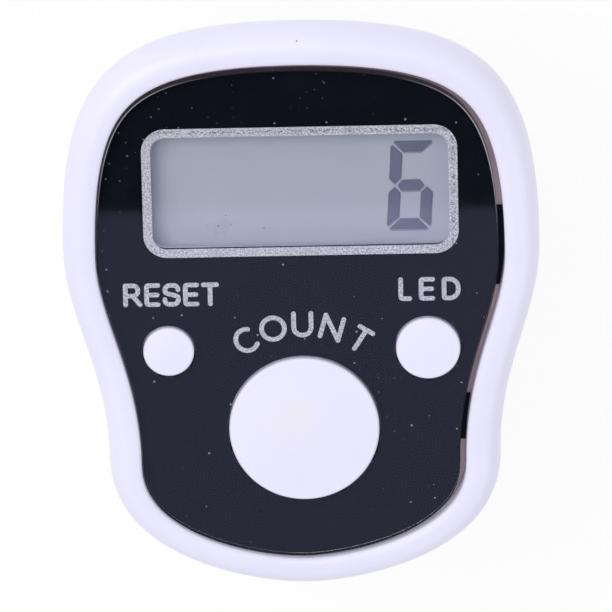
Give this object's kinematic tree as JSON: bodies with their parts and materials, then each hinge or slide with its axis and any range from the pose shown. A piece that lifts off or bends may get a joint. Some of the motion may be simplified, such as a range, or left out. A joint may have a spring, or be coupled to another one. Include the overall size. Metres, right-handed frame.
{
  "type": "digital finger counter",
  "caption": "Small waisted tally counter with a display window, a large count button, two small buttons and a hinged band that holds it on a finger.",
  "frame": {"origin": "centre of the bounding box at its foot, on the surface that the flat foot of the finger band stands on", "axes": "+Z out of the face, +Y towards 12 o'clock of the face, +X to the right of the face"},
  "size_m": [0.034, 0.0422, 0.0289],
  "materials": {
    "shell": "white moulded plastic with a faint lilac cast and a soft satin gloss",
    "button": "white moulded button, fine satin",
    "panel": "clear acrylic printed black on its back, polished face",
    "adhesive": "black adhesive sheet",
    "display": "grey-blue display glass",
    "film": "grey polarising film",
    "guide": "clear acrylic light guide",
    "lamp": "moulded lamp body",
    "keypad_rubber": "grey silicone rubber",
    "conductive_rubber": "black conductive rubber",
    "board": "green circuit board",
    "resin": "black potting resin",
    "ceramic": "dark ceramic chip",
    "cell": "nickel-plated steel can",
    "contact": "nickel-plated spring leaf",
    "screw": "zinc-plated steel",
    "band": "soft white elastomer"
  },
  "bodies": {
    "case": {"front_shell": "shell", "rear_cover": "shell", "battery_cover": "shell", "front_panel": "panel", "panel_adhesive": "adhesive", "count_dome": "keypad_rubber", "reset_dome": "keypad_rubber", "led_dome": "keypad_rubber", "lcd_cell": "display", "front_polariser": "film", "rear_polariser": "film", "light_guide": "guide", "backlight_led": "lamp", "led_resistor": "ceramic", "zebra_strip": "conductive_rubber", "circuit_board": "board", "chip_cover": "resin", "button_cell": "cell", "positive_contact": "contact", "negative_contact": "contact", "battery_cover_screw": "screw", "case_screw_top": "screw", "case_screw_left": "screw", "case_screw_right": "screw", "board_screw_left": "screw", "board_screw_right": "screw"},
    "count_key": {"count_button": "button"},
    "reset_key": {"reset_button": "button"},
    "led_key": {"led_button": "button"},
    "band": {"finger_band": "band"}
  },
  "joints": [
    {"name": "count_press", "type": "slide", "parent": "case", "child": "count_key", "axis": [0, 0, -1], "range_m": [0, 0.0005], "stiffness_N_per_m": 2400, "deforming": ["count_dome"]},
    {"name": "reset_press", "type": "slide", "parent": "case", "child": "reset_key", "axis": [0, 0, -1], "range_m": [0, 0.0003], "stiffness_N_per_m": 2500, "deforming": ["reset_dome"]},
    {"name": "led_press", "type": "slide", "parent": "case", "child": "led_key", "axis": [0, 0, -1], "range_m": [0, 0.0003], "stiffness_N_per_m": 2500, "deforming": ["led_dome"]},
    {"name": "band_hinge", "type": "hinge", "parent": "case", "child": "band", "pos_m": [-0.0112, 0.001, 0.0162], "axis": [0, 1, 0], "range_deg": [0, 80]}
  ]
}
